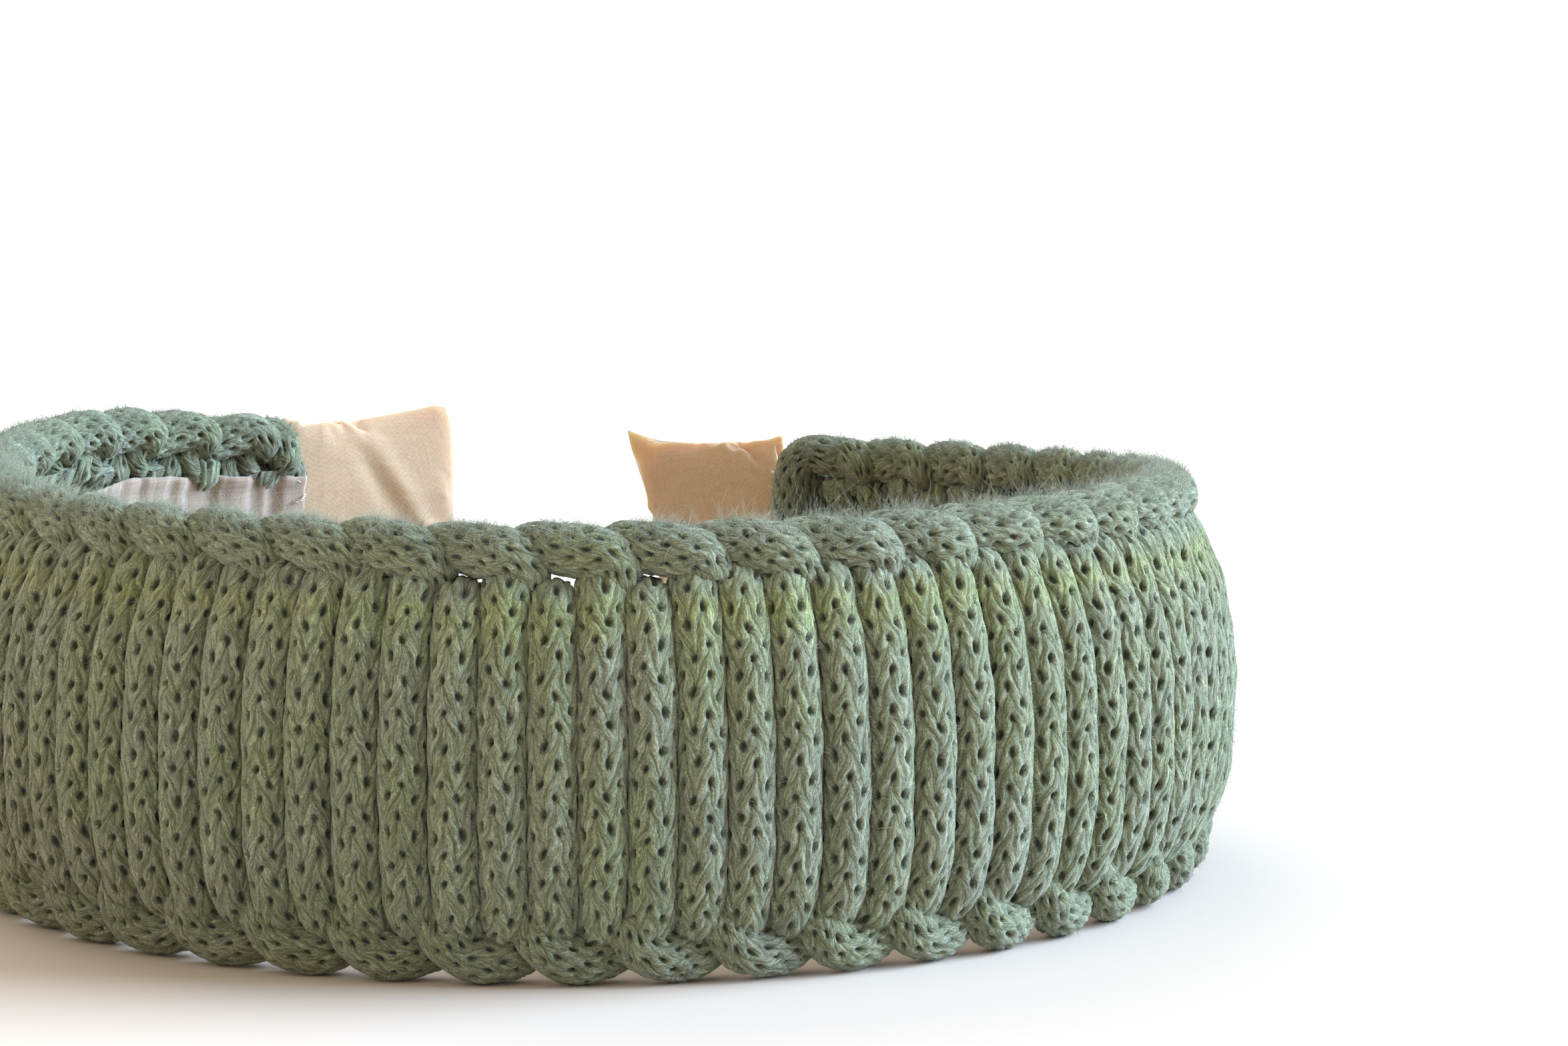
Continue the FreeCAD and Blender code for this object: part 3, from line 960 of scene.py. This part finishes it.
def cap_piece(side, sign):
    """A stuffed end cap. Returns the tree of its surface, for the pieces that are sewn on it."""
    flat, after, faces = simulated_cap(side)
    turn = 1 if sign < 0 else -1
    by_size = [np.array([f for f in faces if len(f) == size]) for size in (4, 3)]
    a, b = flat[:, 0], flat[:, 2]
    to_edge = np.minimum(np.minimum(1 - b, b) * CAP_HEIGHT, (1 - a) * CAP_LENGTH)
    cut = np.column_stack([a * CAP_LENGTH, b * CAP_HEIGHT, to_edge])
    batch = Batch()
    batch.add(cap_points(side, sign, flat, after), [f[:, ::turn] for f in by_size if len(f)], flat=cut)
    piece = batch.mesh(f"{side}_end_cap", cap_cloth, outwards=True)
    more = piece.modifiers.new("finer", "SUBSURF")
    more.levels = more.render_levels = 1
    finer = bpy.data.meshes.new_from_object(piece.evaluated_get(bpy.context.evaluated_depsgraph_get()))
    piece.modifiers.clear()
    piece.data = finer
    finer.name = piece.name
    nodes = f"{side}_cap_inner_panel", f"{side}_cap_outer_panel"
    finish_piece(piece, f"{side}_end_band", "cap_cloth", *nodes)
    return BVHTree.FromPolygons([v.co[:] for v in finer.vertices], [p.vertices[:] for p in finer.polygons])


def on_cap(tree, degrees, z, outside, lift=0.0):
    """Where a radial line meets the cap's outer or inner face, in millimetres, raised by lift."""
    reach = 100.0 if outside else 70.0
    start = polar(degrees, reach, z)
    way = unit(polar(degrees, 85.0, z) - start)
    hit = tree.ray_cast(Vector(start * MM), Vector(way), 0.05)[0]
    found = np.array(hit) / MM if hit else polar(degrees, CAP_RADIUS, z)
    return found - way * lift


def cap_filling(side, sign):
    """The band's cords run on inside the cap as short ends."""
    batch = Batch()
    for k in range(3):
        beyond = 4.2 + 2.6 * k
        degrees = CAP_SEAM[side] + sign * beyond
        high = np.interp(math.radians(beyond) * CAP_RADIUS, *zip(*CAP_UPPER[side])) - 14
        route = [(0, 84.7, 8.0), (0.1, 84.9, 18.0), (-0.1, 84.5, 30.0), (0, 84.7, high)]
        line, run = smooth_line([polar(degrees + turn, radius, z) for turn, radius, z in route], 0.5)
        knitted_cord(batch, line, run, outward_at(math.radians(degrees)), 1.0, 0.38)
    piece = batch.mesh(f"{side}_cord_ends", cord_cloth)
    finish_piece(piece, f"{side}_end_band", "filling", f"{side}_cap_filling")


def twisted_stitch(batch, route, radius, turns):
    """Two plies of thread wound round each other along a short line."""
    line, run = smooth_line(route, 0.09)
    _, n, b = carried_frames(line, np.array([0.1, 0.1, 1.0]))
    for ply in (0, math.pi):
        angle = run / run[-1] * turns * 2 * math.pi + ply
        wound = line + radius * 0.5 * (np.cos(angle)[:, None] * n + np.sin(angle)[:, None] * b)
        ends = np.sqrt(np.clip(np.minimum(run, run[-1] - run) / 0.25, 0.1, 1))
        sweep(batch, wound, radius * 0.56 * ends, 7)


def seam_stitches(side, sign, tree):
    """Hand stitches across the seam between the cap and the lining."""
    batch = Batch()
    for k in range(11):
        z = 6.0 + 4.1 * k + 0.5 * math.sin(k * 2.3)
        lean = (z / CAP_HEIGHT - 0.55) * CAP_LEAN["left"] * (1 if side == "left" else -0.9)
        seam = CAP_SEAM[side] + sign * math.degrees(lean / CAP_RADIUS)
        slope = 0.5 * math.sin(k * 1.7)
        inner = on_cap(tree, seam + sign * 1.35, z + 0.5 + slope, False)
        depth = np.linalg.norm(inner[:2] - CENTRE) - 0.15
        reach = min(depth, 81.9)
        route = [
            polar(seam - sign * 0.55, reach + 0.5, z - 0.4),
            polar(seam - sign * 0.25, reach - 0.22, z - 0.25),
            polar(seam + sign * 0.5, reach - 0.40, z + slope * 0.4),
            polar(seam + sign * 1.25, depth - 0.12, z + 0.4 + slope),
            polar(seam + sign * 1.45, depth + 0.5, z + 0.5 + slope),
        ]
        twisted_stitch(batch, route, 0.26, 3.2)
    piece = batch.mesh(f"{side}_hand_stitches", thread)
    finish_piece(piece, f"{side}_end_band", "thread", f"{side}_seam_stitches")


def on_grid(grid, i, j):
    """A point of a patch's grid between its rows and columns."""
    a, b = int(i), int(j)
    return grid[a, b] + (grid[a + 1, b] - grid[a, b]) * (i - a) + (grid[a, b + 1] - grid[a, b]) * (j - b)


def hooks(batch, top, way):
    """Rows of small bent hooks, each row facing the other way."""
    for row in range(20):
        tip = np.array([0, 0, 1.0 if row % 2 else -1.0])
        for k in range(32):
            i, j = 2.0 + k * 0.80 + 0.2 * (row % 2), 2.4 + row * 1.45
            p, w = on_grid(top, i, j), way[int(i), int(j)]
            bent = p + w * 0.58 + tip * 0.10
            line = np.array([p - w * 0.1, p + w * 0.40, bent, p + w * 0.50 + tip * 0.26])
            sweep(batch, line, 0.06, 5, flat=True)


def pile(batch, top, way):
    """A brushed pile of small thread loops."""
    for _ in range(1100):
        i, j = rng.uniform(2, 27), rng.uniform(2, 31)
        p, w = on_grid(top, i, j), way[int(i), int(j)]
        lean = unit(rng.standard_normal(3) - w * 0.2)
        line = np.array([
            p - w * 0.1, p + w * 0.35 + lean * 0.12, p + w * 0.46 + lean * 0.34, p + w * 0.22 + lean * 0.50,
            p - w * 0.1 + lean * 0.5,
        ])
        sweep(batch, line, 0.035, 4, flat=True)


def tape_base(node, sign, tree, outside):
    """A grid of points on the cap where the CAD patch lies, and the way off the cap at each."""
    columns, rows = TAPE_CELLS
    low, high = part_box(node)
    found = sorted(
        abs(math.degrees(math.atan2(x / MM - CENTRE[0], CENTRE[1] - y / MM)))
        for x in (low[0], high[0])
        for y in (low[1], high[1])
    )
    middle = (found[0] + found[-1]) / 2
    degrees = sign * np.linspace(middle - TAPE_HALF, middle + TAPE_HALF, columns)
    heights = np.linspace(low[2] / MM + 0.2, high[2] / MM - 0.2, rows)
    base = np.array([[on_cap(tree, d, z, outside) for z in heights] for d in degrees])
    way = unit(np.stack([base[..., 0] - CENTRE[0], base[..., 1] - CENTRE[1], 0 * base[..., 0]], -1))
    return base, way if outside else -way


def tape_backing(batch, base, way):
    """The woven backing, with rounded edges. Returns its upper face."""
    columns, rows = TAPE_CELLS
    i, j = np.arange(columns), np.arange(rows)
    to_edge = np.minimum(np.minimum(i, columns - 1 - i)[:, None], np.minimum(j, rows - 1 - j)[None])
    top = base + way * (0.12 + 0.40 * np.clip(to_edge / 1.0, 0, 1)[..., None] ** 0.5)
    under = base - way * 0.25
    grid = np.arange(columns * rows).reshape(columns, rows)
    quads = np.stack([grid[:-1, :-1], grid[1:, :-1], grid[1:, 1:], grid[:-1, 1:]], -1).reshape(-1, 4)
    rim = np.concatenate([grid[:, 0], grid[-1, 1:], grid[-2::-1, -1], grid[0, -2:0:-1]])
    after = np.roll(rim, -1)
    wall = np.stack([rim, after, after + grid.size, rim + grid.size], -1)
    a, z = np.meshgrid(i * 0.57, j * 0.6, indexing="ij")
    flat = np.stack([a, z, 0 * a], -1).reshape(-1, 3)
    points = np.vstack([top.reshape(-1, 3), under.reshape(-1, 3)])
    batch.add(points, [quads, quads[:, ::-1] + grid.size, wall], flat=np.vstack([flat, flat]))
    return top


def tape_stitching(batch, top, way):
    """A running stitch round the tape, one cell in from its edge."""
    columns, rows = TAPE_CELLS
    corners = [(1, 1), (columns - 2, 1), (columns - 2, rows - 2), (1, rows - 2), (1, 1)]
    for (i0, j0), (i1, j1) in zip(corners, corners[1:]):
        for k in range(11):
            share = [(k + f) / 11 for f in (0.12, 0.5, 0.88)]
            cells = [(round(i0 + (i1 - i0) * f), round(j0 + (j1 - j0) * f)) for f in share]
            line = [top[i, j] + way[i, j] * h for (i, j), h in zip(cells, (-0.05, 0.16, -0.05))]
            line = line + np.arange(3)[:, None] * 1e-3  # keeps points in one cell apart
            sweep(batch, line, 0.13, 5, flat=True)


def fastening(side, sign, tree, node, outside, material, slot):
    """A strip of hook or loop tape that follows the cap: a backing, its hooks or pile, and its stitching."""
    base, way = tape_base(node, sign, tree, outside)
    batch = Batch()
    top = tape_backing(batch, base, way)
    if slot == "hook_tape":
        hooks(batch, top, way)
    else:
        pile(batch, top, way)
    tape_stitching(batch, top, way)
    piece = batch.mesh(node.replace("patch", "tape"), material, outwards=True)
    finish_piece(piece, f"{side}_end_band", slot, node)


build_cords()
build_lining()
for side, sign in SIDES.items():
    surface = cap_piece(side, sign)
    cap_filling(side, sign)
    seam_stitches(side, sign, surface)
    if side == "left":
        fastening(side, sign, surface, "hook_patch", True, hook_cloth, "hook_tape")
    else:
        fastening(side, sign, surface, "loop_patch", False, loop_cloth, "loop_tape")

# ---------------------------------------------------------------- camera, floor and light
CAMERA_TURN = math.radians(3.6)
CAMERA_DISTANCE = 0.741
CAMERA_HEIGHT = 0.143
CAMERA_YAW = math.radians(2.23)
CAMERA_PITCH = math.radians(7.28)
CAMERA_LENS = 120.3
PAPER_COLOUR = (0.66, 0.55, 0.455, 1)
PAPER_FADE = (0.16, 0.60)  # metres from the object where the paper starts to glow and where it is white
PAPER_HALF = 9.0
WORLD_COLOUR = (1.0, 0.975, 0.91, 1)
WORLD_STRENGTH = 0.64
# Name, heading, height, angle, strength, colour
LIGHTS = [
    ("back_window", 200, 45, 40, 1.0, (1.0, 0.99, 0.97)),
    ("right_window", 90, 24, 45, 11.8, (0.51, 0.71, 1.0)),
    ("left_bounce", 305, 30, 50, 0.6, (1.0, 0.90, 0.68)),
]


def camera():
    data = bpy.data.cameras.new("camera")
    data.lens = CAMERA_LENS
    data.sensor_width = 36.0
    data.clip_start = 0.01
    data.clip_end = 30.0
    obj = linked("camera", data)
    heading = CAMERA_YAW + CAMERA_TURN
    centre = Vector((CENTRE[0] * MM, CENTRE[1] * MM, 0))
    away = Vector((-math.sin(CAMERA_TURN), -math.cos(CAMERA_TURN), 0)) * CAMERA_DISTANCE
    obj.location = centre + away + Vector((0, 0, CAMERA_HEIGHT))
    obj.rotation_euler = (math.radians(90) - CAMERA_PITCH, 0, -heading)
    bpy.context.scene.camera = obj


def studio_sheet():
    """Pale floor that brightens to plain white a little way behind and beside the object."""
    material, nodes, shader = node_material("studio_paper")
    position = add(nodes, "TexCoord").outputs["Object"]
    reach = add(nodes, "VectorMath", operation="LENGTH")
    feed(reach.inputs[0], position)
    share = add(nodes, "MapRange", interpolation_type="SMOOTHSTEP", Value=reach.outputs["Value"])
    set_inputs(share, From_Min=PAPER_FADE[0], From_Max=PAPER_FADE[1])
    set_inputs(shader, Base_Color=PAPER_COLOUR, Roughness=0.75, Specular_IOR_Level=0.1)
    set_inputs(shader, Emission_Color=(1, 1, 1, 1), Emission_Strength=share.outputs["Result"])
    mesh = bpy.data.meshes.new("studio_floor")
    corners = [(x * PAPER_HALF, y * PAPER_HALF, 0) for x, y in ((-1, -1), (1, -1), (1, 1), (-1, 1))]
    mesh.from_pydata(corners, [], [(0, 1, 2, 3)])
    mesh.materials.append(material)
    linked("studio_floor", mesh)


def far_light(name, heading, height, angle, strength, colour):
    """Even soft light from a plan heading (0 from the front, 90 from +X) and a height, in degrees."""
    data = bpy.data.lights.new(name, "SUN")
    data.angle = math.radians(angle)
    data.energy = strength
    data.color = colour
    obj = linked(name, data)
    a, e = math.radians(heading), math.radians(height)
    way = Vector((math.sin(a) * math.cos(e), -math.cos(a) * math.cos(e), math.sin(e)))
    obj.rotation_euler = way.to_track_quat("Z", "Y").to_euler()
    obj.location = way


def light():
    world = bpy.data.worlds.new("studio_air")
    bpy.context.scene.world = world
    world.use_nodes = True
    background = world.node_tree.nodes["Background"]
    set_inputs(background, Color=WORLD_COLOUR, Strength=WORLD_STRENGTH)
    for values in LIGHTS:
        far_light(*values)


camera()
studio_sheet()
light()
bpy.context.scene.view_settings.view_transform = "Standard"
